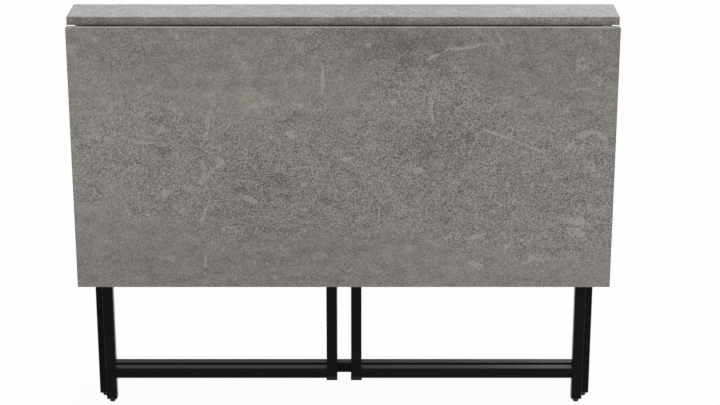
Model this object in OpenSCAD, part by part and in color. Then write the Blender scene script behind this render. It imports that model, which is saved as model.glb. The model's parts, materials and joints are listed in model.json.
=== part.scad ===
// Drop-leaf gateleg table, drawn folded: a narrow fixed strip, two hanging leaves,
// a central tube frame and four swinging gates. Millimetres, +Z up, +X along the table.
// The origin is on the floor under the middle of the strip.

/* [Boards] */
// Length of the strip and of both leaves
table_length = 1000; // [800:10:1200]
// Height of the table top above the floor
table_height = 768; // [700:1:800]
// Depth of the fixed strip
strip_depth = 100; // [98:1:130]
// Depth of each leaf, from its hinged edge to its free edge
leaf_depth = 500; // [350:5:600]
// Thickness of all boards
board = 15; // [13:1:22]
// Thickness of the edging glued round each board
edging = 1; // [0.5:0.1:2]

/* [Frame] */
// Outer width of the square tubes
tube = 20; // [18:1:21]
// Wall of the square tubes
tube_wall = 1.5; // [1:0.1:2]
// Outer corner radius of the square tubes
tube_corner = 1.5; // [1:0.1:2.5]
// Distance from the end of the strip to the outside of the frame legs
frame_inset = 24.5; // [15:0.5:60]
// Height of the underside of the front gates' lower rails above the floor
rail_height = 52; // [40:1:90]
// Clear space between the frame and the gates
plane_gap = 9; // [8:0.5:10]

/* [Gates] */
// Distance from the end of the strip to the outside of the front gate legs
front_gate_inset = 41; // [15:0.5:80]
// Distance from the middle of the table to the near side of each gate post
post_offset = 13.5; // [12:0.5:40]
// Height of the underside of the rear gates' lower rails above the floor
rear_rail_height = 262; // [80:1:400]
// Thickness of the pivot lugs under the strip
lug = 3; // [2.5:0.1:4]
// Thickness of the pivot plates under the lower rail
pivot_plate = 3.5; // [2.5:0.1:5]
// Width of the pivot lugs and plates
pivot_plate_width = 21; // [18:0.5:26]
// Radius of the pivot pins
pivot_pin_r = 4; // [3:0.1:5]
// Length of pin inside each gate post
pivot_pin_reach = 14; // [10:0.5:18]

/* [Hinges] */
// Distance from the middle of the table to the inner hinges
inner_hinge_x = 130; // [70:5:200]
// Distance from the end of the strip to the middle of the outer hinges
outer_hinge_inset = 115; // [100:5:180]
// Width of a hinge along the table
hinge_width = 40; // [30:1:60]
// Depth of a hinge plate, from the pin
hinge_depth = 28; // [22:1:30]
// Thickness of the hinge plates
hinge_plate = 1; // [0.8:0.1:1.2]
// Distance from a hinge's pin to the screws in its plates
hinge_screw_reach = 17.4; // [14:0.1:18.5]
// Distance between the two screws of a hinge plate
hinge_screw_pitch = 24; // [16:0.5:24]
// Radius of the hinge pins
hinge_pin_r = 0.9; // [0.6:0.05:1]
// Distance from the pin's axis to the boards' faces
hinge_drop = 2.2; // [2.2:0.1:3]
// Distance from the strip's edge out to the pin's axis
hinge_overhang = 2.5; // [2.5:0.1:4]
// Gap between strip and leaf when the leaf is raised
open_gap = 0.8; // [0.5:0.1:1.2]

/* [Fittings] */
// Radius of the round feet
foot_r = 5.7; // [5:0.1:8]
// Height of the round feet
foot_height = 8; // [5:0.5:12]
// Rounding of a foot's edges
foot_edge = 2; // [0.5:0.1:2.2]
// Radius of a foot's stem
foot_stem_r = 3; // [2:0.1:4]
// Thickness of a tube plug's visible flange
plug_flange = 2; // [1:0.1:3]
// Length of a plug inside its tube
plug_length = 16; // [12:1:24]
// Radius of the rest pads on top of the gates
pad_r = 6; // [4:0.1:8]
// Rounding of a rest pad's upper edge
pad_edge = 1; // [0.3:0.1:1.5]
// Radius of a hinge screw's shank
hinge_screw_r = 1.5; // [1:0.1:2]
// Radius of a hinge screw's head
hinge_head_r = 2.8; // [2.2:0.1:3.5]
// Height of a hinge screw's head
hinge_head_height = 0.9; // [0.4:0.1:1]
// Length of a hinge screw
hinge_screw_length = 12; // [8:1:13]
// Radius of the shank of the screws that hold the strip
top_screw_r = 2; // [1.5:0.1:3]
// Radius of those screws' heads
top_head_r = 4; // [3.2:0.1:5]
// Height of those screws' heads
top_head_height = 2.4; // [1.5:0.1:4]
// Length of those screws inside the strip
top_screw_bite = 11; // [6:1:12]
// Distance from the end of the top rail to the outer of those screws
top_screw_inset = 65; // [30:5:150]

/* [Hidden] */

CONCRETE = [0.50, 0.49, 0.47];
EDGE = [0.47, 0.46, 0.44];
BLACK = [0.10, 0.10, 0.10];
PLASTIC = [0.07, 0.07, 0.07];
STEEL = [0.66, 0.66, 0.67];

// Clearances: moving parts apart, running fits on the radius, fixed parts on the radius
apart = 0.4;
knuckle_apart = 0.3;
running = 0.05;
seated = 0.03;
plug_fit = 0.1;

half_length = table_length / 2;
half_strip = strip_depth / 2;
underside_z = table_height - board;

// Frame and gate planes, measured from the middle of the table
half_tube = tube / 2;
gate_y = tube + plane_gap;
frame_leg_x = half_length - frame_inset - half_tube;
front_leg_x = half_length - front_gate_inset - half_tube;
rear_leg_x = frame_leg_x;
post_x = post_offset + half_tube;
leg_bottom_z = foot_height;
gate_top_z = underside_z - lug - apart;
frame_rail_z = rail_height - apart;
post_bottom_z = frame_rail_z + apart;
pin_reach = plug_flange + pivot_pin_reach;
pad_height = underside_z - apart - gate_top_z;

// The hinge axis, as a distance out from the middle and a height
hinge_y = half_strip + hinge_overhang;
hinge_z = underside_z - hinge_drop;
knuckle_r = hinge_drop - knuckle_apart;
leaf_inner_y = hinge_y + hinge_drop;
leaf_top_z = hinge_z + hinge_overhang - open_gap;
hinge_xs = [for (side = [-1, 1], x = [inner_hinge_x, half_length - outer_hinge_inset]) side * x];
hinge_screw_xs = [-hinge_screw_pitch / 2, hinge_screw_pitch / 2];
frame_rail_end = frame_leg_x - half_tube;
top_screw_xs = [-1, -1 / 3, 1 / 3, 1] * (frame_rail_end - top_screw_inset);
plate_start = max(hinge_drop, hinge_overhang);

// Facets of a round shape, and how far a cut runs past the face that it opens
round_fn = 32;
past = 1;

// Shared shapes

// A square with rounded corners, centred
module rounded_square(width, radius) {
    flat = width - 2 * radius;
    square([flat, width], center = true);
    square([width, flat], center = true);
    for (x = [-1, 1], y = [-1, 1])
        translate([x * flat / 2, y * flat / 2])
            circle(r = radius, $fn = round_fn);
}

// A length of square tube standing on z = 0
module square_tube(length) {
    linear_extrude(length)
        difference() {
            rounded_square(tube, tube_corner);
            square(tube - 2 * tube_wall, center = true);
        }
}

// An upright tube at x, y from one height to another
module upright(x, y, from_z, to_z) {
    translate([x, y, from_z])
        square_tube(to_z - from_z);
}

// A level tube along the table from one x to another, resting at a height
module level_rail(from_x, to_x, y, bottom_z) {
    translate([from_x, y, bottom_z + half_tube])
        rotate([0, 90, 0])
            square_tube(to_x - from_x);
}

// A tube plug: a flange on the tube's end and a square body inside; z = 0 is the flange's face
module tube_plug(bore_r, bore_length) {
    body = tube - 2 * (tube_wall + plug_fit);
    difference() {
        union() {
            linear_extrude(plug_flange)
                rounded_square(tube, tube_corner);
            translate([-body / 2, -body / 2, 0])
                cube([body, body, plug_flange + plug_length]);
        }
        translate([0, 0, -past])
            cylinder(r = bore_r, h = bore_length + past, $fn = round_fn);
    }
}

// A round foot with rounded edges, standing on z = 0, and its stem
module foot() {
    rotate_extrude($fn = 2 * round_fn) {
        square([foot_r - foot_edge, foot_height]);
        translate([0, foot_edge])
            square([foot_r, foot_height - 2 * foot_edge]);
        for (z = [foot_edge, foot_height - foot_edge])
            translate([foot_r - foot_edge, z])
                circle(r = foot_edge, $fn = round_fn);
    }
    translate([0, 0, foot_height])
        cylinder(r = foot_stem_r, h = plug_length, $fn = round_fn);
}

// Puts its children on the front of the table, or turned round to the rear
module on_side(front) {
    rotate([0, 0, front ? 0 : 180])
        children();
}

// Boards

// The core of a board, centred on x, its first edge at y = 0 and its face on z = 0
module board_core(depth) {
    translate([-half_length + edging, edging, 0])
        cube([table_length - 2 * edging, depth - 2 * edging, board]);
}

// The four strips of edging round such a board
module board_edging(depth) {
    for (y = [0, depth - edging])
        translate([-half_length, y, 0])
            cube([table_length, edging, board]);
    for (x = [-half_length, half_length - edging])
        translate([x, edging, 0])
            cube([edging, depth - 2 * edging, board]);
}

// Pilot holes for the hinge screws in the strip, for the front side
module strip_pilot_holes() {
    for (x = hinge_xs, dx = hinge_screw_xs)
        translate([x + dx, -hinge_y + hinge_screw_reach, underside_z - past])
            cylinder(r = hinge_screw_r + seated, h = past + hinge_screw_length - hinge_plate, $fn = round_fn);
}

module top_strip() {
    color(CONCRETE)
        difference() {
            translate([0, -half_strip, underside_z])
                board_core(strip_depth);
            for (front = [true, false])
                on_side(front)
                    strip_pilot_holes();
            for (x = top_screw_xs)
                translate([x, 0, underside_z - past])
                    cylinder(r = top_screw_r + seated, h = top_screw_bite + past, $fn = round_fn);
        }
}

module top_strip_edging() {
    color(EDGE)
        translate([0, -half_strip, underside_z])
            board_edging(strip_depth);
}

// Stands a board up as a hanging leaf on the front side, its face on z = 0 turned inwards
module hang_leaf() {
    translate([0, -leaf_inner_y, leaf_top_z])
        rotate([90, 180, 0])
            children();
}

module leaf(front) {
    color(CONCRETE)
        on_side(front)
            difference() {
                hang_leaf()
                    board_core(leaf_depth);
                for (x = hinge_xs, dx = hinge_screw_xs)
                    translate([x + dx, -leaf_inner_y + past, hinge_z - hinge_screw_reach])
                        rotate([90, 0, 0])
                            cylinder(r = hinge_screw_r + seated, h = past + hinge_screw_length - hinge_plate,
                                $fn = round_fn);
            }
}

module leaf_edging(front) {
    color(EDGE)
        on_side(front)
            hang_leaf()
                board_edging(leaf_depth);
}

// Hinges: y runs from the pin's axis along the board, and z from the axis towards its face

// The middles of the knuckles along x, and their length
knuckle_pitch = hinge_width / 3;
knuckle_length = knuckle_pitch - knuckle_apart;

module hinge_half(knuckle_xs) {
    difference() {
        union() {
            translate([-hinge_width / 2, plate_start, hinge_drop - hinge_plate])
                cube([hinge_width, hinge_depth - plate_start, hinge_plate]);
            for (x = knuckle_xs) {
                translate([x - knuckle_length / 2, 0, 0])
                    rotate([0, 90, 0])
                        cylinder(r = knuckle_r, h = knuckle_length, $fn = round_fn);
                translate([x - knuckle_length / 2, 0, hinge_drop - hinge_plate])
                    cube([knuckle_length, plate_start + hinge_plate, knuckle_r - hinge_drop + hinge_plate]);
            }
        }
        translate([-hinge_width, 0, 0])
            rotate([0, 90, 0])
                cylinder(r = hinge_pin_r + running, h = 2 * hinge_width, $fn = round_fn);
        for (x = hinge_screw_xs)
            translate([x, hinge_screw_reach, 0])
                cylinder(r = hinge_screw_r + seated, h = 2 * hinge_drop, $fn = round_fn);
    }
}

// The two screws of a hinge half, their heads on its outer face
module hinge_screws() {
    for (x = hinge_screw_xs)
        translate([x, hinge_screw_reach, hinge_drop - hinge_plate]) {
            cylinder(r = hinge_screw_r, h = hinge_screw_length, $fn = round_fn);
            translate([0, 0, -hinge_head_height])
                cylinder(r = hinge_head_r, h = hinge_head_height, $fn = round_fn);
        }
}

// Puts a hinge piece at every hinge, on the strip or on the hanging leaf
module at_hinges(front, on_leaf) {
    on_side(front)
        for (x = hinge_xs)
            translate([x, -hinge_y, hinge_z])
                rotate(on_leaf ? [90, 180, 0] : [0, 0, 0])
                    children();
}

module hinge_strip_plates(front) {
    color(BLACK)
        at_hinges(front, false)
            hinge_half([-knuckle_pitch, knuckle_pitch]);
}

module hinge_leaf_plates(front) {
    color(BLACK)
        at_hinges(front, true)
            hinge_half([0]);
}

module hinge_pins(front) {
    color(BLACK)
        at_hinges(front, false)
            translate([-hinge_width / 2, 0, 0])
                rotate([0, 90, 0])
                    cylinder(r = hinge_pin_r, h = hinge_width, $fn = round_fn);
}

module hinge_screw_set(front, on_leaf) {
    color(BLACK)
        at_hinges(front, on_leaf)
            hinge_screws();
}

// Frame

module frame_leg(side) {
    color(BLACK)
        upright(side * frame_leg_x, 0, leg_bottom_z + plug_flange, underside_z);
}

module frame_top_rail() {
    color(BLACK)
        difference() {
            level_rail(-frame_rail_end, frame_rail_end, 0, underside_z - tube);
            for (x = top_screw_xs)
                translate([x, 0, underside_z - tube - past])
                    cylinder(r = top_screw_r + seated, h = tube + 2 * past, $fn = round_fn);
        }
}

module frame_bottom_rail() {
    color(BLACK)
        level_rail(-frame_rail_end, frame_rail_end, 0, frame_rail_z);
}

// A plug in a leg's lower end, bored for the stem of its foot
module leg_plug(x, y) {
    translate([x, y, leg_bottom_z])
        tube_plug(foot_stem_r + seated, plug_length + apart);
}

module frame_leg_plugs() {
    color(PLASTIC)
        for (side = [-1, 1])
            leg_plug(side * frame_leg_x, 0);
}

module frame_feet() {
    color(PLASTIC)
        for (side = [-1, 1])
            translate([side * frame_leg_x, 0, 0])
                foot();
}

module top_screws() {
    color(STEEL)
        for (x = top_screw_xs)
            translate([x, 0, underside_z - tube]) {
                cylinder(r = top_screw_r, h = tube + top_screw_bite, $fn = round_fn);
                translate([0, 0, -top_head_height])
                    cylinder(r = top_head_r, h = top_head_height, $fn = round_fn);
            }
}

// A pivot plate's outline round the pin at y = -gate_y, as far back as to_y
module pivot_outline(to_y) {
    difference() {
        union() {
            translate([-pivot_plate_width / 2, -gate_y])
                square([pivot_plate_width, to_y + gate_y]);
            translate([0, -gate_y])
                rounded_square(pivot_plate_width, tube_corner);
        }
        translate([0, -gate_y])
            circle(r = pivot_pin_r + seated, $fn = round_fn);
    }
}

module upper_pivot_lugs() {
    color(BLACK)
        for (front = [true, false], side = [-1, 1])
            on_side(front)
                translate([side * post_x, 0, underside_z - lug])
                    linear_extrude(lug)
                        pivot_outline(-half_tube);
}

module lower_pivot_plates() {
    color(BLACK)
        for (side = [-1, 1])
            translate([side * post_x, 0, frame_rail_z - pivot_plate])
                linear_extrude(pivot_plate)
                    for (front = [true, false])
                        on_side(front)
                            pivot_outline(0);
}

// One pin at each gate post, from one height to another
module pivot_pins(from_z, to_z) {
    color(STEEL)
        for (x = [-post_x, post_x], y = [-gate_y, gate_y])
            translate([x, y, from_z])
                cylinder(r = pivot_pin_r, h = to_z - from_z, $fn = round_fn);
}

// Gates: side is -1 on the left and 1 on the right, and back is -1 in front and 1 behind

function gate_leg_x(back) = back < 0 ? front_leg_x : rear_leg_x;

module gate_leg(side, back) {
    color(BLACK)
        upright(side * gate_leg_x(back), back * gate_y, leg_bottom_z + plug_flange, gate_top_z - plug_flange);
}

module gate_post(side, back) {
    color(BLACK)
        upright(side * post_x, back * gate_y, post_bottom_z + plug_flange, gate_top_z - plug_flange);
}

module gate_rail(side, back, bottom_z) {
    near_x = post_x + half_tube;
    far_x = gate_leg_x(back) - half_tube;
    color(BLACK)
        level_rail(min(side * near_x, side * far_x), max(side * near_x, side * far_x), back * gate_y, bottom_z);
}

module gate_bushes(side, back) {
    bore_r = pivot_pin_r + running;
    color(PLASTIC)
        translate([side * post_x, back * gate_y, 0]) {
            translate([0, 0, post_bottom_z])
                tube_plug(bore_r, pin_reach + apart);
            translate([0, 0, gate_top_z])
                rotate([180, 0, 0])
                    tube_plug(bore_r, pin_reach + apart);
        }
}

module gate_plugs(side, back) {
    color(PLASTIC) {
        leg_plug(side * gate_leg_x(back), back * gate_y);
        translate([side * gate_leg_x(back), back * gate_y, gate_top_z])
            rotate([180, 0, 0])
                tube_plug(foot_stem_r + seated, plug_length + apart);
    }
}

// The pad that the raised leaf rests on, and its stem in the leg's upper plug
module gate_pad(side, back) {
    color(PLASTIC)
        translate([side * gate_leg_x(back), back * gate_y, gate_top_z]) {
            rotate_extrude($fn = 2 * round_fn) {
                square([pad_r - pad_edge, pad_height]);
                square([pad_r, pad_height - pad_edge]);
                translate([pad_r - pad_edge, pad_height - pad_edge])
                    circle(r = pad_edge, $fn = round_fn);
            }
            translate([0, 0, -plug_length])
                cylinder(r = foot_stem_r, h = plug_length, $fn = round_fn);
        }
}

module gate_foot(side, back) {
    color(PLASTIC)
        translate([side * gate_leg_x(back), back * gate_y, 0])
            foot();
}

top_strip();
top_strip_edging();
leaf(true);  // front_leaf
leaf_edging(true);  // front_leaf_edging
leaf(false);  // rear_leaf
leaf_edging(false);  // rear_leaf_edging
hinge_strip_plates(true);  // front_hinge_strip_plates
hinge_leaf_plates(true);  // front_hinge_leaf_plates
hinge_pins(true);  // front_hinge_pins
hinge_screw_set(true, false);  // front_hinge_strip_screws
hinge_screw_set(true, true);  // front_hinge_leaf_screws
hinge_strip_plates(false);  // rear_hinge_strip_plates
hinge_leaf_plates(false);  // rear_hinge_leaf_plates
hinge_pins(false);  // rear_hinge_pins
hinge_screw_set(false, false);  // rear_hinge_strip_screws
hinge_screw_set(false, true);  // rear_hinge_leaf_screws
frame_leg(-1);  // frame_leg_left
frame_leg(1);  // frame_leg_right
frame_top_rail();
frame_bottom_rail();
frame_leg_plugs();
frame_feet();
top_screws();
upper_pivot_lugs();
lower_pivot_plates();
pivot_pins(gate_top_z - pin_reach, underside_z);  // upper_pivot_pins
pivot_pins(frame_rail_z - pivot_plate, post_bottom_z + pin_reach);  // lower_pivot_pins
gate_leg(-1, -1);  // front_left_gate_leg
gate_post(-1, -1);  // front_left_gate_post
gate_rail(-1, -1, gate_top_z - tube);  // front_left_gate_top_rail
gate_rail(-1, -1, rail_height);  // front_left_gate_bottom_rail
gate_bushes(-1, -1);  // front_left_gate_bushes
gate_plugs(-1, -1);  // front_left_gate_plugs
gate_pad(-1, -1);  // front_left_gate_pad
gate_foot(-1, -1);  // front_left_gate_foot
gate_leg(1, -1);  // front_right_gate_leg
gate_post(1, -1);  // front_right_gate_post
gate_rail(1, -1, gate_top_z - tube);  // front_right_gate_top_rail
gate_rail(1, -1, rail_height);  // front_right_gate_bottom_rail
gate_bushes(1, -1);  // front_right_gate_bushes
gate_plugs(1, -1);  // front_right_gate_plugs
gate_pad(1, -1);  // front_right_gate_pad
gate_foot(1, -1);  // front_right_gate_foot
gate_leg(-1, 1);  // rear_left_gate_leg
gate_post(-1, 1);  // rear_left_gate_post
gate_rail(-1, 1, gate_top_z - tube);  // rear_left_gate_top_rail
gate_rail(-1, 1, rear_rail_height);  // rear_left_gate_bottom_rail
gate_bushes(-1, 1);  // rear_left_gate_bushes
gate_plugs(-1, 1);  // rear_left_gate_plugs
gate_pad(-1, 1);  // rear_left_gate_pad
gate_foot(-1, 1);  // rear_left_gate_foot
gate_leg(1, 1);  // rear_right_gate_leg
gate_post(1, 1);  // rear_right_gate_post
gate_rail(1, 1, gate_top_z - tube);  // rear_right_gate_top_rail
gate_rail(1, 1, rear_rail_height);  // rear_right_gate_bottom_rail
gate_bushes(1, 1);  // rear_right_gate_bushes
gate_plugs(1, 1);  // rear_right_gate_plugs
gate_pad(1, 1);  // rear_right_gate_pad
gate_foot(1, 1);  // rear_right_gate_foot
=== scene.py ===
import json
import math

import bmesh
import bpy
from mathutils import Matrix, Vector

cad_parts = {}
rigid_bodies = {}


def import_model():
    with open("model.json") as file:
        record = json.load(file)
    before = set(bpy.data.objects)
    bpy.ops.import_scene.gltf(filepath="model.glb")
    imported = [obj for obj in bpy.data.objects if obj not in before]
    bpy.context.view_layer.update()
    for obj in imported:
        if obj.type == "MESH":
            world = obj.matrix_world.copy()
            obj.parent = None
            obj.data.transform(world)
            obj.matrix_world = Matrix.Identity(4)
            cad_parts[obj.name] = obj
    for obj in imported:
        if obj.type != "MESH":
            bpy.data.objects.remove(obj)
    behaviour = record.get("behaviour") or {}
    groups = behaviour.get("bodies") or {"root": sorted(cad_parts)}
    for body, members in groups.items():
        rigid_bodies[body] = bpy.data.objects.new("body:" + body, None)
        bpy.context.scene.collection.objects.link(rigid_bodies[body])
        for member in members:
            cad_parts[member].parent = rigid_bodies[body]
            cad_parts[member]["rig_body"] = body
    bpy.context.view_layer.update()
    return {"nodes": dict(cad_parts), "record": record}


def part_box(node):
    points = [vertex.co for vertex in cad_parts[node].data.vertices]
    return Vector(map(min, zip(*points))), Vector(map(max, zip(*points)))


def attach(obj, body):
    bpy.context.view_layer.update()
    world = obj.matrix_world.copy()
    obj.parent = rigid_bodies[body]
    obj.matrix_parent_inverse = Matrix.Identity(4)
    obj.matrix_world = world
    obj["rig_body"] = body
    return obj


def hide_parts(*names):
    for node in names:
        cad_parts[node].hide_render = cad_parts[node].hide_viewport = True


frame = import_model()

# A drop-leaf gateleg table, folded. Lengths are in metres and angles in degrees, unless said otherwise.
MM = 0.001

SIDES = ("front", "rear")
GATES = [side + "_" + hand + "_gate" for side in SIDES for hand in ("left", "right")]
SLOT_OF = {part["node"]: part["material_slot"] for part in frame["record"]["subparts"]}

# The camera, found from the perspective of a picture 720 pixels wide. Its sensor is in millimetres.
PICTURE_WIDTH = 720
FOCAL_LENGTH_PIXELS = 1977.6
SENSOR_WIDTH = 36.0
CAMERA_PLACE = (0.0306, -3.5352, 1.6096)
CAMERA_PITCH = 18.936

# Light and surroundings. A softbox's power is in watts.
WHITE = (1, 1, 1, 1)
SKY_STRENGTH = 0.5
SUN_STRENGTH = 2.9
SUN_SOFTNESS = 60
SUN_TILT_BACK = 15
SUN_TILT_RIGHT = 15
SUN_COLOR = (0.89, 0.95, 1.28)
SOFTBOXES = {
    "softbox in front on the right":
        {"place": (5.2, -5.0, 3.6), "width": 4.0, "height": 4.0, "power": 305},
    "wide softbox behind on the right":
        {"place": (4.0, 8.0, 4.0), "width": 6.5, "height": 2.5, "power": 90},
}
FLOOR_SIZE = 40
FLOOR_COLOR = (0.5, 0.5, 0.5, 1)
FLOOR_WHITENESS = 0.955

# The concrete print: its colours, and how fine its patterns are, in clouds a metre
CONCRETE_COLORS = {
    "Smooth": (0.193, 0.177, 0.148),
    "Porous": (0.19, 0.173, 0.15),
    "Pale": (0.326, 0.309, 0.277),
}
AREA_SCALE = 6.5
GRAIN_SCALE = 470
MOTTLE_SCALE = 200
CURD_SCALE = 42
CLOUD_SCALE = 3.6
BLOTCH_SCALE = 21
SPECK_SCALE = 85
RAGGED_EDGE_SCALE = 28
# How strongly the patterns change its colour, as shares of it, and how strongly its marks show
GRAIN_STRENGTH = 0.56
MOTTLE_STRENGTH = 0.21
CURD_STRENGTH = 0.85
CLOUD_STRENGTH = 0.2
VEIN_STRENGTH = 0.4
BLOTCH_STRENGTH = 0.4
MARK_STRENGTH = 0.6
# How sharply smooth areas change to porous ones, and what is left of grain and mottle in the smooth ones
AREA_CONTRAST = 1.5
SMOOTH_AREA_GRAIN = 0.56
# How dark the darkest pore is, as a share of the colour round it
DARKEST_PORE = 0.25
# The share of the mosaic's cells that hold a speck, and its least and greatest radius, as shares of a cell
SPECK_SHARE = 0.24
SPECK_RADII = (0.1, 0.24)
# The turn of the veins that follow the trowel, in radians
TROWEL_TURN = 0.35
# The print's least and greatest roughness, and the relief of its pores
CONCRETE_ROUGHNESS = (0.44, 0.56)
CONCRETE_RELIEF = 0.06 * MM
CONCRETE_RELIEF_STRENGTH = 0.6
# How far in from its outline a patch has its full weight, as a share of its half width
PATCH_FADE = 0.75
# How far the outlines of areas and of marks are drawn out
RAGGED_AREAS = 0.12
RAGGED_MARKS = 0.012
# A length so great that a patch of the print is the same on a board's two faces
THROUGH_THE_BOARD = 100

# Patterns of the steel and plastic finishes, in clouds a metre
GLOSS_PATCH_SCALE = 14
FLECK_SCALE = 260

# Small shapes that the solids leave to this script
EDGING_ROUND = 0.5 * MM
EDGING_SEAM = 0.12 * MM
PLUG_CORNER = 1.5 * MM
PLUG_RIM = 0.5 * MM
PLUG_SEAM = 0.2 * MM
FOOT_SOLE_ROUND = 2.2 * MM
FOOT_TOP_ROUND = 0.9 * MM
FOOT_GROOVE = 0.35 * MM
PAD_ROUND = 0.9 * MM
PAD_GROOVE = 0.4 * MM
WELD_RADIUS = 1.1 * MM
WELD_RIPPLES = 14
ROUND_SIDES = 48

# The body of a plug as a share of its tube's width, the groove of a foot as a share of its height, and stems
# and the rim of a pad as shares of the radius
PLUG_BODY = 0.84
FOOT_GROOVE_LEVEL = 0.66
FOOT_STEM = 0.52
PAD_STEM = 0.5
PAD_RIM = 0.2
# Screws: the height of a head, its shank's radius and the length and width of its recess as shares of its
# radius, its rounding and its recess's cutter as shares of its height, and the tip as a share of the shank
TOP_SCREW_HEAD = 0.6
HINGE_SCREW_HEAD = 0.32
SCREW_SHANK = 0.52
RECESS_LENGTH = 1.1
RECESS_WIDTH = 0.24
SCREW_DOME = 0.55
RECESS_CUTTER = 1.3
SCREW_TIP = 0.6
# Welds: a bead's length as a share of its rail's depth, and its thickness at its ends and between ripples as
# shares of the thickness at a ripple
WELD_LENGTH = 0.84
WELD_END = 0.5
WELD_VALLEY = 0.84

# How nearly a direction has to follow an axis to lie on it, which leaves out rounded rims
ON_AXIS = 0.99
# The steepest angle between faces that are shaded as one
SMOOTH_ANGLE = 35
WELD_SMOOTH_ANGLE = 60
# How close points are when they are merged
SOLID_MERGE = 0.001 * MM
WELD_MERGE = 0.01 * MM


# Modelling by hand: one shape at a time, alone in the selection

def add_shape(add, name, **settings):
    """Adds a primitive with nothing else selected, and gives it a name."""
    bpy.ops.object.select_all(action="DESELECT")
    add(**settings)
    piece = bpy.context.object
    piece.name = name
    piece.data.name = name
    return piece


def open_shape(add, name, **settings):
    """Adds a primitive, puts its place and size into its mesh, and opens it in edit mode."""
    piece = add_shape(add, name, **settings)
    bpy.ops.object.transform_apply(location=True, rotation=True, scale=True)
    bpy.ops.object.mode_set(mode="EDIT")
    return piece


def choose(kind, test):
    """In edit mode, selects the vertices, edges or faces that pass the test, and nothing else."""
    bpy.ops.mesh.select_mode(type=kind)
    bpy.ops.mesh.select_all(action="DESELECT")
    mesh = bmesh.from_edit_mesh(bpy.context.object.data)
    for part in {"VERT": mesh.verts, "EDGE": mesh.edges, "FACE": mesh.faces}[kind]:
        if test(part):
            part.select_set(True)
    mesh.select_flush_mode()
    bmesh.update_edit_mesh(bpy.context.object.data)


def above(level):
    """A test for edges and faces that lie wholly above a level."""
    return lambda part: all(vert.co.z > level for vert in part.verts)


def below(level):
    """A test for edges and faces that lie wholly below a level."""
    return lambda part: all(vert.co.z < level for vert in part.verts)


def faces_up(face):
    """A level face that looks up."""
    return face.normal.z > ON_AXIS


def faces_down(face):
    """A level face that looks down."""
    return face.normal.z < -ON_AXIS


def extrude_up(length):
    """Extrudes the chosen faces along z, downwards where the length is negative."""
    bpy.ops.mesh.extrude_region_move(TRANSFORM_OT_translate={"value": (0, 0, length)})


def settle(piece, smooth_angle=SMOOTH_ANGLE):
    """Closes the piece, at the origin with its place in its mesh, smooth where its faces meet gently."""
    bpy.ops.object.mode_set(mode="OBJECT")
    bpy.ops.object.select_all(action="DESELECT")
    piece.select_set(True)
    bpy.context.view_layer.objects.active = piece
    bpy.ops.object.transform_apply(location=True, rotation=True, scale=True)
    bpy.ops.object.shade_smooth_by_angle(angle=math.radians(smooth_angle))
    return piece


def copy_to(piece, place, tip=0):
    """A copy with its own mesh, tipped about the x axis and moved to its place."""
    copy = piece.copy()
    copy.data = piece.data.copy()
    bpy.context.scene.collection.objects.link(copy)
    copy.rotation_euler = (math.radians(tip), 0, 0)
    copy.location = place
    return copy


def join_as(name, copies):
    """Joins copies into one piece under a name."""
    bpy.ops.object.select_all(action="DESELECT")
    for copy in copies:
        copy.select_set(True)
    bpy.context.view_layer.objects.active = copies[0]
    bpy.ops.object.transform_apply(location=True, rotation=True, scale=True)
    if len(copies) > 1:
        bpy.ops.object.join()
    piece = bpy.context.object
    piece.name = name
    piece.data.name = name
    return piece


def discard(piece):
    """Removes a piece once it has been copied or used."""
    bpy.data.objects.remove(piece)


def middle(node):
    """The middle of a solid's box."""
    low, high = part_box(node)
    return (low + high) / 2


def stand_for(piece, node):
    """The piece is shown in place of a solid, with its body and its finish."""
    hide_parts(node)
    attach(piece, frame["nodes"][node]["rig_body"])
    piece.data.materials.clear()
    piece.data.materials.append(finish_of(node))
    return piece


# Finishes: how shader nodes are added and joined

def fill(tree, node, inputs):
    """Gives each input its value, or links it if it is given a socket."""
    for name, value in inputs.items():
        if isinstance(value, bpy.types.NodeSocket):
            tree.links.new(value, node.inputs[name])
        else:
            node.inputs[name].default_value = value


def put(tree, kind, inputs=None, **settings):
    """Adds a shader node with its settings and inputs."""
    made = tree.nodes.new("ShaderNode" + kind)
    for name, value in settings.items():
        setattr(made, name, value)
    fill(tree, made, inputs or {})
    return made


def calc(tree, operation, *values):
    """The result of a Math node."""
    return put(tree, "Math", dict(enumerate(values)), operation=operation).outputs[0]


def noise(tree, place, scale, detail=2.0, roughness=0.5, distortion=0.0):
    """A cloud of values round one half. The scale is in clouds a metre."""
    inputs = {"Vector": place, "Scale": scale, "Detail": detail, "Roughness": roughness,
              "Distortion": distortion}
    return put(tree, "TexNoise", inputs).outputs["Fac"]


def about_zero(tree, cloud):
    """A cloud of values, moved from round one half to round zero."""
    return calc(tree, "SUBTRACT", cloud, 0.5)


def spread(tree, value, low, high, to_low=0.0, to_high=1.0):
    """Maps low to high smoothly onto another range, and holds the ends."""
    inputs = {"Value": value, "From Min": low, "From Max": high, "To Min": to_low, "To Max": to_high}
    return put(tree, "MapRange", inputs, interpolation_type="SMOOTHSTEP").outputs["Result"]


def stretched(tree, place, scale=(1, 1, 1), turn=(0, 0, 0), shift=(0, 0, 0)):
    """The same place, scaled, turned by radians and shifted, for a pattern that runs its own way."""
    inputs = {"Vector": place, "Scale": scale, "Rotation": turn, "Location": shift}
    return put(tree, "Mapping", inputs).outputs["Vector"]


def blend_colors(tree, factor, first, second):
    """The first colour where the factor is 0 and the second where it is 1. The Mix node's sockets for
    colours share their names with others, so they go by number."""
    return put(tree, "Mix", {0: factor, 6: first, 7: second}, data_type="RGBA").outputs[2]


def scale_color(tree, color, factor):
    """A colour or a vector made stronger or weaker."""
    return put(tree, "VectorMath", {0: color, "Scale": factor}, operation="SCALE").outputs["Vector"]


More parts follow.
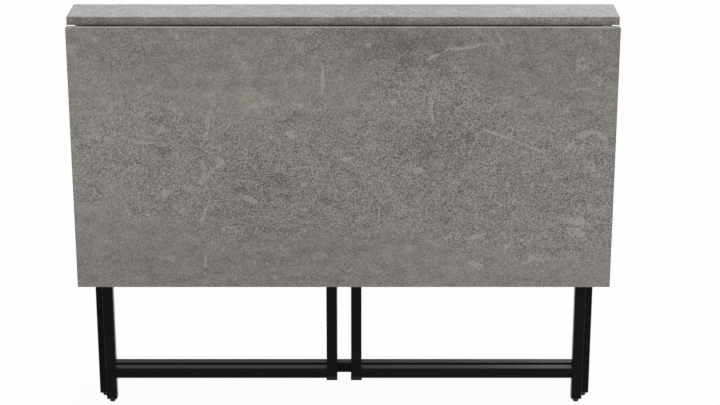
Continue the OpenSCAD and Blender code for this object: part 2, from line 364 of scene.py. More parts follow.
def bump(tree, height, distance, strength):
    """The normal of a surface with a fine relief."""
    inputs = {"Height": height, "Distance": distance, "Strength": strength}
    return put(tree, "Bump", inputs).outputs["Normal"]


def start_group(name, inputs, outputs):
    """A shader node group with named sockets. Returns its tree, what it is given and its output node."""
    tree = bpy.data.node_groups.new(name, "ShaderNodeTree")
    for way, sockets in (("INPUT", inputs), ("OUTPUT", outputs)):
        for label, kind in sockets.items():
            tree.interface.new_socket(label, in_out=way, socket_type="NodeSocket" + kind)
    return tree, tree.nodes.new("NodeGroupInput").outputs, tree.nodes.new("NodeGroupOutput")


def use_group(tree, group, inputs):
    """Places a shader node group, and returns what it makes."""
    return put(tree, "Group", inputs, node_tree=group).outputs


def start_material(name):
    """A material, its node tree and its shader."""
    material = bpy.data.materials.new(name)
    material.use_nodes = True
    return material, material.node_tree, material.node_tree.nodes["Principled BSDF"]


def place_on_piece(tree):
    """The place on the piece, in metres."""
    return put(tree, "TexCoord").outputs["Object"]


# Shared effects

def patchwork(name, patches):
    """Soft patches laid in the x and z directions, added up by their weights."""
    tree, given, made = start_group(name, {"Place": "Vector"}, {"Mask": "Float"})
    total = 0.0
    for x, z, half_length, half_width, turn, weight in patches.values():
        patch = put(tree, "TexGradient", {"Vector": given["Place"]}, gradient_type="SPHERICAL")
        laid = patch.texture_mapping
        laid.vector_type = "TEXTURE"
        laid.translation = (x * MM, 0, z * MM)
        laid.rotation = (0, math.radians(-turn), 0)
        laid.scale = (half_length * MM, THROUGH_THE_BOARD, half_width * MM)
        soft = spread(tree, patch.outputs["Fac"], 0.0, PATCH_FADE)
        total = calc(tree, "MULTIPLY_ADD", soft, weight, total)
    fill(tree, made, {"Mask": total})
    return tree


def ragged_edges():
    """Shifts the place a little this way and that, so that what is laid there gets ragged edges."""
    needed = {"Place": "Vector", "Reach": "Float"}
    tree, given, made = start_group("Ragged edges", needed, {"Place": "Vector"})
    inputs = {"Vector": given["Place"], "Scale": RAGGED_EDGE_SCALE, "Detail": 4.0, "Roughness": 0.6}
    drift = put(tree, "TexNoise", inputs).outputs["Color"]
    drift = put(tree, "VectorMath", {0: drift, 1: (0.5, 0.5, 0.5)}, operation="SUBTRACT").outputs["Vector"]
    drift = scale_color(tree, drift, given["Reach"])
    moved = put(tree, "VectorMath", {0: given["Place"], 1: drift}, operation="ADD").outputs["Vector"]
    fill(tree, made, {"Place": moved})
    return tree


def grain_and_mottle(tree, place):
    """The finest grain of the concrete and a coarser mottle, each from about -1 to 1."""
    grain = noise(tree, place, GRAIN_SCALE, detail=3.0)
    mottle = noise(tree, place, MOTTLE_SCALE, detail=5.0, roughness=0.6, distortion=0.8)
    return spread(tree, grain, 0.35, 0.65, -1.0, 1.1), spread(tree, mottle, 0.3, 0.7, -1.0, 1.0)


def veins(tree, place, marks):
    """Thin lines where a slow noise crosses a level, broken up along their way and laid over the marks. Two
    wander upwards, and one follows the trowel."""
    wander = noise(tree, stretched(tree, place, (5.5, 5.5, 1.1)), 1.0)
    trowel = noise(tree, stretched(tree, place, (1.4, 5.0, 6.5), turn=(0, TROWEL_TURN, 0)), 1.0)
    for course, level, breaks in ((wander, 0.47, 7.0), (wander, 0.56, 11.0), (trowel, 0.52, 9.0)):
        off_course = calc(tree, "ABSOLUTE", calc(tree, "SUBTRACT", course, level))
        line = spread(tree, off_course, 0.001, 0.011, VEIN_STRENGTH, 0.0)
        elsewhere = stretched(tree, place, shift=(level * 9, 0, breaks))
        whole = spread(tree, noise(tree, elsewhere, breaks, detail=1.0), 0.55, 0.68)
        marks = calc(tree, "MAXIMUM", marks, calc(tree, "MULTIPLY", line, whole))
    return marks


def specks(tree, place):
    """Small round specks of different sizes, in about a quarter of the cells of a mosaic."""
    cells = put(tree, "TexVoronoi", {"Vector": place, "Scale": SPECK_SCALE, "Randomness": 1.0}).outputs
    lot = put(tree, "SeparateColor", {"Color": cells["Color"]}).outputs
    radius = spread(tree, lot["Green"], 0.0, 1.0, *SPECK_RADII)
    speck = calc(tree, "LESS_THAN", cells["Distance"], radius)
    return calc(tree, "MULTIPLY", speck, calc(tree, "GREATER_THAN", lot["Red"], 1 - SPECK_SHARE))


def concrete_print():
    """Cast concrete as printed on melamine: smooth warm areas, porous grey ones, pale marks and specks. The
    pattern lies in the x and z directions of its place. Extra porous areas, tones and marks are added."""
    inputs = {"Place": "Vector", "Smooth": "Color", "Porous": "Color", "Pale": "Color",
              "Porous Share": "Float", "Tone": "Float", "Grain": "Float", "Pale Marks": "Float",
              "Dark Marks": "Float"}
    outputs = {"Color": "Color", "Pores": "Float", "Sheen Patches": "Float"}
    tree, given, made = start_group("Concrete print", inputs, outputs)
    place = given["Place"]

    # Where it is smooth and where porous
    patches = noise(tree, stretched(tree, place, shift=(3.1, 0.7, 5.3)), AREA_SCALE, detail=4.0)
    leaning = calc(tree, "MULTIPLY_ADD", about_zero(tree, patches), AREA_CONTRAST, given["Porous Share"])
    porous = spread(tree, leaning, 0.2, 0.8)

    # Fine grain, mottle and curds, and broad clouds
    grain, mottle = grain_and_mottle(tree, place)
    fine = calc(tree, "MULTIPLY", grain, GRAIN_STRENGTH)
    fine = calc(tree, "MULTIPLY_ADD", mottle, MOTTLE_STRENGTH, fine)
    fine = calc(tree, "MULTIPLY", fine, spread(tree, porous, 0.0, 1.0, SMOOTH_AREA_GRAIN, 1.0))
    fine = calc(tree, "MULTIPLY", fine, given["Grain"])
    curds = noise(tree, stretched(tree, place, (0.75, 1.0, 1.2)), CURD_SCALE, detail=3.0, roughness=0.55)
    fine = calc(tree, "MULTIPLY_ADD", about_zero(tree, curds), CURD_STRENGTH, fine)
    clouds = about_zero(tree, noise(tree, place, CLOUD_SCALE, detail=3.0))
    cloudy = calc(tree, "MULTIPLY_ADD", clouds, CLOUD_STRENGTH, given["Tone"])
    cloudy = calc(tree, "ADD", cloudy, given["Dark Marks"])

    # Pale marks, crumbled by the grain, with specks that stay round
    marks = veins(tree, place, given["Pale Marks"])
    blotches = noise(tree, place, BLOTCH_SCALE, detail=4.0, roughness=0.6)
    marks = calc(tree, "MAXIMUM", marks, spread(tree, blotches, 0.6, 0.74, 0.0, BLOTCH_STRENGTH))
    crumbs = calc(tree, "MULTIPLY_ADD", mottle, 0.5, calc(tree, "MULTIPLY_ADD", grain, 0.25, 1.0))
    marks = spread(tree, calc(tree, "MULTIPLY", marks, crumbs), 0.15, 0.65)
    marks = calc(tree, "MAXIMUM", marks, specks(tree, place))

    color = blend_colors(tree, porous, given["Smooth"], given["Porous"])
    shade = calc(tree, "ADD", 1.0, calc(tree, "ADD", fine, cloudy))
    color = scale_color(tree, color, calc(tree, "MAXIMUM", shade, DARKEST_PORE))
    color = blend_colors(tree, calc(tree, "MULTIPLY", marks, MARK_STRENGTH), color, given["Pale"])
    sheen = calc(tree, "MULTIPLY_ADD", porous, 0.3, cloudy)
    fill(tree, made, {"Color": color, "Pores": fine, "Sheen Patches": sheen})
    return tree


def coating_skin():
    """The skin of a sprayed or moulded surface: an even pebbling, and slow changes of gloss."""
    inputs = {"Place": "Vector", "Pebble Scale": "Float", "Least Roughness": "Float",
              "Most Roughness": "Float"}
    tree, given, made = start_group("Coating skin", inputs, {"Height": "Float", "Roughness": "Float"})
    pebbles = noise(tree, given["Place"], given["Pebble Scale"], roughness=0.55)
    patches = noise(tree, given["Place"], GLOSS_PATCH_SCALE, detail=3.0, roughness=0.6)
    rough = spread(tree, patches, 0.3, 0.7, given["Least Roughness"], given["Most Roughness"])
    fill(tree, made, {"Height": pebbles, "Roughness": rough})
    return tree


def handling_marks():
    """Faint rubbed marks and settled dust, as a mask."""
    tree, given, made = start_group("Handling marks", {"Place": "Vector"}, {"Mask": "Float"})
    rubbed = noise(tree, stretched(tree, given["Place"], (30, 30, 9)), 1.0, detail=4.0, roughness=0.65)
    flecks = spread(tree, noise(tree, given["Place"], FLECK_SCALE), 0.45, 0.7, 0.3, 1.0)
    fill(tree, made, {"Mask": calc(tree, "MULTIPLY", spread(tree, rubbed, 0.5, 0.75), flecks)})
    return tree


# Where the prints of the front leaf and the strip differ from place to place, judged from the photograph,
# and where the strip is painted lighter or darker as painted light and shade. Each area and mark has its
# place along the board and across it, its half length and half width, all in millimetres, its turn and its
# weight.
POROUS_AREAS = {
    "band across the middle": (0, 475, 1300, 150, -3, 0.7),
    "upper right of the middle": (80, 710, 240, 100, -15, 0.25),
    "right, above the middle": (270, 600, 300, 100, -10, 0.35),
    "lower right": (360, 360, 300, 100, -10, 0.3),
    "below the middle": (-150, 360, 200, 70, 0, 0.35),
    "upper left corner": (-440, 710, 120, 60, 0, 0.2),
}
LIGHT_AND_DARK_AREAS = {
    "left side": (-470, 510, 200, 240, 0, 0.13),
    "upper left": (-330, 610, 300, 80, 0, 0.09),
    "left, under the middle": (-340, 470, 100, 60, 0, 0.06),
    "level band at the upper left": (-350, 695, 100, 20, -2, -0.08),
    "light band left of the middle": (-135, 610, 120, 30, -2, 0.1),
    "top, right of the middle": (70, 720, 190, 80, -2, -0.19),
    "its darkest part": (95, 725, 100, 50, 1, -0.1),
    "top right": (350, 710, 360, 110, 0, -0.15),
    "right side": (500, 580, 160, 160, 0, -0.05),
    "lower right corner": (440, 330, 200, 120, 0, 0.05),
    "right of the middle": (170, 540, 140, 80, 2, -0.14),
    "left of the middle, low": (-145, 465, 100, 60, -8, -0.15),
    "under that": (-190, 390, 80, 40, -7, -0.13),
    "bottom left": (-200, 300, 400, 80, 0, -0.08),
}
PALE_MARKS = {
    "level streak on the left": (-444, 546, 62, 7, -7, 0.65),
    "its bright end": (-370, 537, 36, 5, -5, 0.75),
    "curl at its end": (-330, 532, 7, 9, 0, 0.6),
    "patch above its end": (-332, 561, 12, 10, 12, 0.7),
    "long upright streak, top": (-247, 576, 68, 7, 79, 0.6),
    "long upright streak, middle": (-257, 478, 56, 7, -87, 0.4),
    "long upright streak, bottom": (-259, 398, 47, 5, 71, 0.8),
    "cloud beside the long streak": (-227, 499, 16, 13, -66, 0.75),
    "its tail": (-253, 472, 38, 10, 36, 0.6),
    "patch left of its tail": (-289, 450, 15, 9, -24, 0.6),
    "patch further left": (-329, 440, 11, 9, 7, 0.75),
    "level streak under it": (-301, 408, 26, 5, -16, 0.5),
    "cloud left of the middle": (-97, 552, 14, 11, -76, 0.85),
    "speckled column at the upper left": (-184, 691, 70, 22, -63, 0.35),
    "upright streak above the middle": (-37, 654, 45, 7, -89, 0.75),
    "short upright streak at the bottom": (-257, 307, 25, 4, 89, 0.7),
    "short upright streak in the middle": (-58, 485, 28, 4, 90, 0.7),
    "level streak in the middle": (-78, 489, 30, 4, 2, 0.75),
    "patch under it": (-74, 458, 13, 7, 5, 0.7),
    "streak low left of the middle": (-173, 426, 25, 9, -23, 0.95),
    "loop under the middle": (-76, 407, 14, 9, 26, 0.5),
    "bubbles low on the left": (-209, 369, 41, 11, -16, 0.4),
    "brightest bubble": (-223, 368, 6, 6, 0, 1),
    "spot at the bottom": (-129, 273, 7, 7, 0, 1),
    "spot at the top left": (-446, 732, 6, 7, 0, 0.8),
    "spot at the top": (-299, 736, 7, 9, 0, 0.95),
    "patch above the long streak": (-163, 606, 24, 9, -3, 0.65),
    "patch right of it": (-77, 606, 9, 9, -7, 0.6),
    "rising streak at the top, foot": (163, 699, 22, 5, 30, 0.8),
    "rising streak at the top, end": (224, 717, 66, 5, 8, 0.8),
    "falling streak at the top": (285, 732, 35, 5, -58, 0.5),
    "wavy streak right of the middle": (162, 599, 48, 6, -87, 0.55),
    "its foot": (167, 553, 6, 7, 0, 0.75),
    "spot right of the middle": (92, 614, 7, 8, 0, 0.85),
    "falling streak on the right, upper half": (281, 553, 50, 6, -19, 0.7),
    "falling streak on the right, lower half": (350, 526, 51, 5, -25, 0.6),
    "hook under the streak": (237, 531, 38, 5, 68, 0.6),
    "arch on the right, left foot": (415, 528, 29, 9, 56, 0.6),
    "arch on the right, top": (442, 553, 27, 10, 15, 0.7),
    "arch on the right, right foot": (474, 549, 26, 9, -27, 0.6),
    "small cloud in the middle": (6, 505, 15, 9, 9, 1),
    "small cloud right of the middle": (138, 484, 17, 10, 8, 1),
    "patch below the small cloud": (136, 423, 10, 10, 22, 0.55),
    "patch on the right": (279, 485, 10, 10, 0, 0.5),
    "pair of spots on the right": (305, 455, 9, 8, 53, 0.7),
    "its right half": (349, 455, 8, 8, 66, 0.6),
    "cloud at the lower right": (433, 386, 32, 11, -9, 0.8),
    "its lower half": (440, 361, 27, 11, -56, 0.7),
    "level streak at the lower right": (248, 353, 32, 7, 13, 0.9),
    "cloud at the bottom right": (247, 297, 27, 13, -22, 0.65),
    "upright patch at the bottom right": (306, 333, 19, 9, 66, 0.5),
    "upright patch right of it": (351, 309, 19, 10, 66, 0.55),
    "spot at the top right of the middle": (46, 721, 9, 7, 24, 1),
}
DARK_MARKS = {
    "above the curl": (-340, 579, 21, 13, 10, -0.14),
    "round the curl": (-333, 524, 23, 13, -12, -0.16),
    "beside the long streak": (-219, 550, 22, 15, -9, -0.15),
    "left of the middle": (-84, 583, 36, 13, 17, -0.12),
    "low left of the middle": (-189, 445, 21, 15, 13, -0.16),
    "further right": (-111, 466, 31, 15, 14, -0.12),
    "small, low on the left": (-323, 422, 12, 11, -12, -0.16),
    "under the middle": (-32, 426, 25, 18, -23, -0.12),
    "above the small cloud": (150, 519, 23, 18, 25, -0.18),
    "under the small cloud": (160, 468, 14, 13, 0, -0.12),
    "beside the hook": (230, 548, 20, 15, -36, -0.12),
    "dot in the middle": (25, 459, 7, 8, 0, -0.35),
    "scratch left of the middle": (-332, 517, 24, 5, -89, -0.25),
}
# The strip's left half is painted lighter and the part right of the middle darker: painted light and shade
# that even out the light falling from the right.
STRIP_PAINTED_LIGHT_AND_SHADE = {
    "left half": (-380, 0, 480, 300, 0, 0.18),
    "right of the middle": (130, 0, 240, 300, 0, -0.14),
}
STRIP_MARKS = {
    "cloud near the left end": (-424, 0, 27, 24, 0, 0.45),
    "second cloud from the left": (-351, 5, 17, 26, 0, 0.4),
    "third cloud from the left": (-276, 12, 19, 20, 0, 0.45),
    "patch left of the middle": (-87, -32, 11, 12, 0, 0.5),
    "cloud left of the middle": (-48, -26, 15, 14, 0, 0.5),
    "first scratch in the middle": (6, 0, 34, 4, 72, 0.9),
    "second scratch in the middle": (24, -4, 36, 4, 74, 0.9),
    "third scratch in the middle": (38, 10, 24, 4, 70, 0.7),
    "spot right of the middle": (58, -36, 10, 9, 0, 0.8),
    "next spot": (87, -22, 8, 14, 0, 0.8),
    "falling scratch": (130, 5, 28, 4, -62, 0.8),
    "broad falling streak": (205, 0, 52, 9, -50, 0.6),
    "upright streak on the right": (322, 0, 40, 9, 90, 0.5),
    "spots near the right end": (401, 12, 10, 14, 0, 0.7),
}

RAGGED_EDGES = ragged_edges()
STRIP_AREAS = {
    "Tone": patchwork("Painted light and shade of the strip", STRIP_PAINTED_LIGHT_AND_SHADE),
    "Pale Marks": patchwork("Pale marks of the strip", STRIP_MARKS),
}
LEAF_AREAS = {
    "Porous Share": patchwork("Porous areas of the front leaf", POROUS_AREAS),
    "Tone": patchwork("Light and dark areas of the front leaf", LIGHT_AND_DARK_AREAS),
    "Pale Marks": patchwork("Pale marks of the front leaf", PALE_MARKS),
    "Dark Marks": patchwork("Dark marks of the front leaf", DARK_MARKS),
}
CONCRETE_PRINT = concrete_print()
COATING_SKIN = coating_skin()
HANDLING_MARKS = handling_marks()


# Materials

def concrete_melamine(name, shift, turn=0, porous_share=0.5, areas=None, tone=1.0, grain=1.0):
    """Matt melamine printed as concrete. The shift gives each board its own part of the print, the turn is
    about the x axis, and the tone makes all of it lighter or darker."""
    material, tree, shader = start_material(name)
    turned = stretched(tree, place_on_piece(tree), turn=(math.radians(turn), 0, 0))
    inputs = {label: [tone * value for value in color] + [1] for label, color in CONCRETE_COLORS.items()}
    inputs.update({"Place": stretched(tree, turned, shift=shift), "Porous Share": porous_share,
                   "Grain": grain, "Tone": 0.0, "Pale Marks": 0.0, "Dark Marks": 0.0})
    if areas:
        broad = use_group(tree, RAGGED_EDGES, {"Place": turned, "Reach": RAGGED_AREAS})["Place"]
        close = use_group(tree, RAGGED_EDGES, {"Place": turned, "Reach": RAGGED_MARKS})["Place"]
        for label, area in areas.items():
            where = close if "Marks" in label else broad
            mask = use_group(tree, area, {"Place": where})["Mask"]
            inputs[label] = calc(tree, "ADD", mask, inputs[label])
    shown = use_group(tree, CONCRETE_PRINT, inputs)
    fill(tree, shader, {
        "Base Color": shown["Color"],
        "Roughness": spread(tree, shown["Sheen Patches"], -0.1, 0.4, *CONCRETE_ROUGHNESS),
        "Normal": bump(tree, shown["Pores"], CONCRETE_RELIEF, CONCRETE_RELIEF_STRENGTH),
    })
    return material


def black_finish(name, color, rubbed, pebbles, roughness, specular, relief, relief_strength):
    """A black surface with a fine pebbling and faintly rubbed marks. The pebbles are counted a metre, the
    roughness is its least and its greatest, and the relief is the depth of the pebbles."""
    material, tree, shader = start_material(name)
    place = place_on_piece(tree)
    skin = use_group(tree, COATING_SKIN, {"Place": place, "Pebble Scale": pebbles,
                                          "Least Roughness": roughness[0], "Most Roughness": roughness[1]})
    marks = use_group(tree, HANDLING_MARKS, {"Place": place})["Mask"]
    fill(tree, shader, {
        "Base Color": blend_colors(tree, marks, (*color, 1), (*rubbed, 1)),
        "Roughness": skin["Roughness"],
        "Specular IOR Level": specular,
        "Normal": bump(tree, skin["Height"], relief, relief_strength),
    })
    return material


def powder_coat():
    """Satin black powder coat, very finely pebbled."""
    return black_finish("Satin black powder coat", color=(0.0056, 0.0045, 0.0035),
                        rubbed=(0.0085, 0.0075, 0.0067), pebbles=1100.0, roughness=(0.21, 0.27),
                        specular=0.06, relief=0.03 * MM, relief_strength=0.5)


def moulded_plastic():
    """Black plastic with a fine spark-eroded grain."""
    return black_finish("Moulded black plastic", color=(0.0058, 0.0055, 0.0053),
                        rubbed=(0.013, 0.0125, 0.012), pebbles=2600.0, roughness=(0.5, 0.62),
                        specular=0.3, relief=0.02 * MM, relief_strength=0.6)


def blackened_steel():
    """Black-plated hinge steel, a little rougher than the powder coat."""
    return black_finish("Black-plated hinge steel", color=(0.0045, 0.0043, 0.0042),
                        rubbed=(0.012, 0.0117, 0.0114), pebbles=1900.0, roughness=(0.3, 0.42),
                        specular=0.12, relief=0.01 * MM, relief_strength=0.5)


def zinc_plate():
    """Bright zinc on drawn steel, with drawing lines along the height and a slight bloom."""
    material, tree, shader = start_material("Zinc-plated steel")
    place = place_on_piece(tree)
    lines = noise(tree, stretched(tree, place, (2600, 2600, 90)), 1.0, detail=3.0)
    bloom = use_group(tree, HANDLING_MARKS, {"Place": place})["Mask"]
    bright = (0.56, 0.56, 0.57, 1)
    dulled = (0.47, 0.48, 0.5, 1)
    drawn = spread(tree, lines, 0.3, 0.7, 0.27, 0.38)
    fill(tree, shader, {
        "Base Color": blend_colors(tree, bloom, bright, dulled),
        "Metallic": 1.0,
        "Roughness": calc(tree, "ADD", drawn, calc(tree, "MULTIPLY", bloom, 0.12)),
        "Normal": bump(tree, lines, distance=0.01 * MM, strength=0.4),
    })
    return material


# Each board has its own part of the print; the strip's is turned to lie flat, and its edging is plainer, its
# tone a little below one as painted shade.
PRINTS = {
    "top_strip": {"shift": (0.37, 0.2, 1.93), "turn": 90, "grain": 1.75, "areas": STRIP_AREAS},
    "front_leaf": {"shift": (0, 0, 0), "porous_share": 0.22, "areas": LEAF_AREAS},
    "rear_leaf": {"shift": (4.6, 1.3, 0)},
}
EDGING_PRINTS_AND_PAINTED_SHADE = {"top_strip": {"tone": 0.99, "porous_share": 0.25, "grain": 0.9, "areas": None}}
CONCRETE = {}
for board, laid in PRINTS.items():
    words = board.replace("_", " ")
    CONCRETE[board] = concrete_melamine("Concrete melamine of the " + words, **laid)
    laid = dict(laid, **EDGING_PRINTS_AND_PAINTED_SHADE.get(board, {}))
    CONCRETE[board + "_edging"] = concrete_melamine("Concrete edging of the " + words, **laid)
FINISHES = {
    "black_steel": powder_coat(),
    "black_plastic": moulded_plastic(),
    "zinc_steel": zinc_plate(),
    "black_hinge_steel": blackened_steel(),
}


def finish_of(node):
    """The material of a solid: a board's own print, or else its slot's finish."""
    return CONCRETE.get(node) or FINISHES[SLOT_OF[node]]


def finish_solids():
    """Gives every solid its material."""
    for name, solid in frame["nodes"].items():
        solid.data.materials.clear()
        solid.data.materials.append(finish_of(name))


# Pieces

def board_edging(node, board, across):
    """The band glued round a board, its outer edges rounded. across is the axis through the board."""
    low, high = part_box(node)
    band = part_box(board)[0].x - low.x
    along = [axis for axis in range(3) if axis != across]

    def flush(face):
        """A face that lies flush with a broad face of the board."""
        return abs(face.normal[across]) > ON_AXIS

    def outside(edge):
        """An edge on the outline of the band, and not where it meets the board."""
        return all(any(min(vert.co[axis] - low[axis], high[axis] - vert.co[axis]) < band / 2
                       for axis in along) for vert in edge.verts)

    def ends_flush(edge):
        """An edge where a flush face ends."""
        return sum(flush(face) for face in edge.link_faces) == 1

    def runs_across(edge):
        """An edge that runs through the thickness of the board."""
        run = (edge.verts[0].co - edge.verts[1].co).normalized()
        return abs(run[across]) > ON_AXIS

    piece = open_shape(bpy.ops.mesh.primitive_cube_add, "edging_of_" + board, size=1,
                       location=(low + high) / 2, scale=high - low)
    choose("FACE", flush)
    bpy.ops.mesh.inset(thickness=band, use_individual=True)
    bpy.ops.mesh.bridge_edge_loops()
    choose("EDGE", lambda edge: ends_flush(edge) and not outside(edge))
    bpy.ops.mesh.bevel(offset=EDGING_SEAM, segments=1, affect="EDGES")
    choose("EDGE", lambda edge: (ends_flush(edge) or runs_across(edge)) and outside(edge))
    bpy.ops.mesh.bevel(offset=EDGING_ROUND, segments=3, affect="EDGES")
    bpy.ops.mesh.select_all(action="SELECT")
    bpy.ops.mesh.normals_make_consistent(inside=False)
    return stand_for(settle(piece), node)


def on_each_leg(frame_node, gate_ending):
    """The nodes of the small pieces on the legs, one for the frame and one for each gate, each with the
    middles of its legs."""
    legs = {frame_node: [middle("frame_leg_left"), middle("frame_leg_right")]}
    legs.update({gate + gate_ending: [middle(gate + "_leg")] for gate in GATES})
    return legs.items()


def tube_plug(width, flange, depth, body):
    """A plug for a tube's end, its flange's face on z = 0 and its body upwards."""
    piece = open_shape(bpy.ops.mesh.primitive_cube_add, "plug", size=1, location=(0, 0, flange / 2),
                       scale=(width, width, flange))
    choose("EDGE", lambda edge: abs(edge.verts[0].co.z - edge.verts[1].co.z) > flange / 2)
    bpy.ops.mesh.bevel(offset=PLUG_CORNER, segments=5, affect="EDGES")
    choose("EDGE", below(flange / 2))
    bpy.ops.mesh.bevel(offset=PLUG_RIM, segments=3, affect="EDGES")
    choose("FACE", faces_up)
    bpy.ops.mesh.inset(thickness=PLUG_SEAM)
    choose("EDGE", lambda edge: above(flange / 2)(edge) and not all(map(faces_up, edge.link_faces)))
    bpy.ops.transform.translate(value=(0, 0, -PLUG_SEAM))
    choose("FACE", faces_up)
    bpy.ops.mesh.inset(thickness=(width - body) / 2 - PLUG_SEAM)
    extrude_up(depth)
    return settle(piece)


def place_plugs():
    """Plugs in both ends of each gate leg, and in the lower ends of the frame's legs."""
    low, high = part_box("frame_leg_left")
    foot_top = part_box("frame_leg_plugs")[0].z
    width = high.x - low.x
    flange = low.z - foot_top
    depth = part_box("frame_leg_plugs")[1].z - low.z
    plug = tube_plug(width, flange, depth, width * PLUG_BODY)
    for node, legs in on_each_leg("frame_leg_plugs", "_plugs"):
        copies = [copy_to(plug, (leg.x, leg.y, foot_top)) for leg in legs]
        if node != "frame_leg_plugs":
            copies += [copy_to(plug, (leg.x, leg.y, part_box(node)[1].z), tip=180) for leg in legs]
        stand_for(join_as("leg_plugs_" + node, copies), node)
    discard(plug)


def round_foot(radius, height, stem_radius, stem_length):
    """A knock-in foot: a rounded sole, a fine moulding groove and its stem."""
    piece = open_shape(bpy.ops.mesh.primitive_cylinder_add, "foot", vertices=ROUND_SIDES, radius=radius,
                       depth=height, location=(0, 0, height / 2))
    choose("EDGE", below(height / 2))
    bpy.ops.mesh.bevel(offset=FOOT_SOLE_ROUND, segments=6, affect="EDGES")
    choose("EDGE", above(height / 2))
    bpy.ops.mesh.bevel(offset=FOOT_TOP_ROUND, segments=3, affect="EDGES")
    groove = height * FOOT_GROOVE_LEVEL
    for level in (groove - FOOT_GROOVE, groove + FOOT_GROOVE, groove):
        bpy.ops.mesh.select_all(action="SELECT")
        bpy.ops.mesh.bisect(plane_co=(0, 0, level), plane_no=(0, 0, 1))
    choose("VERT", lambda vert: abs(vert.co.z - groove) < FOOT_GROOVE / 4)
    pull = (radius - FOOT_GROOVE) / radius
    bpy.ops.transform.resize(value=(pull, pull, 1), center_override=(0, 0, groove))
    choose("FACE", faces_up)
    bpy.ops.mesh.inset(thickness=radius - FOOT_TOP_ROUND - stem_radius)
    extrude_up(stem_length)
    return settle(piece)


def place_feet():
    """Feet under the frame's legs and under each gate's leg."""
    low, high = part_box("front_left_gate_foot")
    radius = (high.x - low.x) / 2
    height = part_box("frame_leg_plugs")[0].z
    foot = round_foot(radius, height, radius * FOOT_STEM, high.z - height)
    for node, legs in on_each_leg("frame_feet", "_foot"):
        copies = [copy_to(foot, (leg.x, leg.y, 0)) for leg in legs]
        stand_for(join_as("round_" + node, copies), node)
    discard(foot)


def rest_pad(radius, height, stem_radius, stem_length):
    """The soft pad on a gate's leg, with a ring groove in its top and its stem below."""
    piece = open_shape(bpy.ops.mesh.primitive_cylinder_add, "pad", vertices=ROUND_SIDES, radius=radius,
                       depth=height, location=(0, 0, height / 2))
    choose("EDGE", above(height / 2))
    bpy.ops.mesh.bevel(offset=PAD_ROUND, segments=4, affect="EDGES")
    choose("FACE", faces_up)
    rim = radius * PAD_RIM
    for step in (rim, PAD_GROOVE, PAD_GROOVE):
        bpy.ops.mesh.inset(thickness=step)
    ring = radius - PAD_ROUND - rim - PAD_GROOVE
    choose("VERT", lambda vert: vert.co.z > height / 2
           and abs(vert.co.to_2d().length - ring) < PAD_GROOVE / 2)
    bpy.ops.transform.translate(value=(0, 0, -PAD_GROOVE))
    choose("FACE", faces_down)
    bpy.ops.mesh.inset(thickness=radius - stem_radius)
    extrude_up(-stem_length)
    return settle(piece)


def place_pads():
    """A pad on top of each gate's leg."""
    low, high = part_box("front_left_gate_pad")
    top_of_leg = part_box("front_left_gate_plugs")[1].z
    radius = (high.x - low.x) / 2
    pad = rest_pad(radius, high.z - top_of_leg, radius * PAD_STEM, top_of_leg - low.z)
    for gate in GATES:
        at = middle(gate + "_leg")
        copy = copy_to(pad, (at.x, at.y, top_of_leg))
        stand_for(join_as("rest_pad_" + gate, [copy]), gate + "_pad")
    discard(pad)


def cross_screw(shank_radius, shank_length, head_radius, head_height):
    """A screw with a domed head and a cross recess. Its head hangs below z = 0 and its shank stands up."""
    piece = open_shape(bpy.ops.mesh.primitive_cylinder_add, "screw", vertices=ROUND_SIDES,
                       radius=head_radius, depth=head_height, location=(0, 0, -head_height / 2))
    choose("EDGE", below(-head_height / 2))
    bpy.ops.mesh.bevel(offset=head_height * SCREW_DOME, segments=4, affect="EDGES")
    choose("FACE", faces_up)
    bpy.ops.mesh.inset(thickness=head_radius - shank_radius)
    extrude_up(shank_length)
    bpy.ops.transform.resize(value=(SCREW_TIP, SCREW_TIP, 1), center_override=(0, 0, shank_length))
    bpy.ops.object.mode_set(mode="OBJECT")
    size = (head_radius * RECESS_LENGTH, head_radius * RECESS_WIDTH, head_height * RECESS_CUTTER)
    for turn in (0, 90):
        cutter = add_shape(bpy.ops.mesh.primitive_cube_add, "recess", size=1,
                           location=(0, 0, -head_height), scale=size, rotation=(0, 0, math.radians(turn)))
        cut = piece.modifiers.new("recess", "BOOLEAN")
        cut.operation = "DIFFERENCE"
        cut.object = cutter
        bpy.context.view_layer.objects.active = piece
        bpy.ops.object.modifier_apply(modifier=cut.name)
        discard(cutter)
    return settle(piece)


def solid_boxes(node):
    """The box of each separate solid of a node, found from its loose shells. The boxes are sorted by place,
    because a set of vertices gives them in another order each run."""
    mesh = bmesh.new()
    mesh.from_mesh(frame["nodes"][node].data)
    bmesh.ops.remove_doubles(mesh, verts=mesh.verts, dist=SOLID_MERGE)
    left = set(mesh.verts)
    boxes = []
    while left:
        shell = [left.pop()]
        for vert in shell:
            for edge in vert.link_edges:
                other = edge.other_vert(vert)
                if other in left:
                    left.remove(other)
                    shell.append(other)
        spans = [[vert.co[axis] for vert in shell] for axis in range(3)]
        boxes.append((Vector(map(min, spans)), Vector(map(max, spans))))
    mesh.free()
    return sorted(boxes, key=lambda box: tuple(box[0]))


def place_screws(node, name, head_share, head_down):
    """A cross-head screw for each solid of a node. head_share is the head's height by its radius. head_down
    says that the screws stand up from below; otherwise they lie along y, heads to the table's middle."""
    boxes = solid_boxes(node)
    low, high = boxes[0]
    size = high - low
    head_radius = size.x / 2
    head_height = head_radius * head_share
    shank_length = (size.z if head_down else size.y) - head_height
    screw = cross_screw(head_radius * SCREW_SHANK, shank_length, head_radius, head_height)
    copies = []
    for low, high in boxes:
        at = (low + high) / 2
        if head_down:
            copies.append(copy_to(screw, (at.x, at.y, low.z + head_height)))
        elif at.y < 0:
            copies.append(copy_to(screw, (at.x, high.y - head_height, at.z), tip=90))
        else:
            copies.append(copy_to(screw, (at.x, low.y + head_height, at.z), tip=-90))
    stand_for(join_as(name, copies), node)
    discard(screw)


